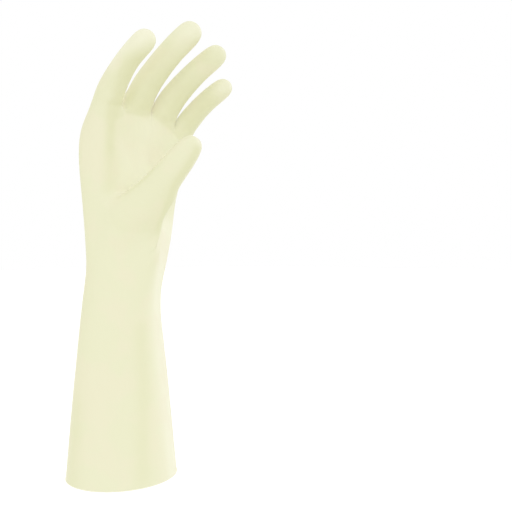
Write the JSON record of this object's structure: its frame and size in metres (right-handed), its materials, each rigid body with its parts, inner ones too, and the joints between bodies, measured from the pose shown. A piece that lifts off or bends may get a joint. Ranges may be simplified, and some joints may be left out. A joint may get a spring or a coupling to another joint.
{
  "type": "surgical glove",
  "caption": "Long thin latex surgical glove for the left hand in its worn form, with softly bent fingers, a thumb across the palm and a flared sleeve with a small rolled edge.",
  "frame": {"origin": "middle of the wrist, in the hollow of the glove", "axes": "+Z from the wrist to the fingertips, -Y out of the palm, -X to the thumb side, +X to the little finger side"},
  "size_m": [0.081, 0.1101, 0.289],
  "materials": {
    "latex": "smooth matt cream latex"
  },
  "bodies": {
    "root": {"glove_body": "latex"}
  },
  "joints": []
}
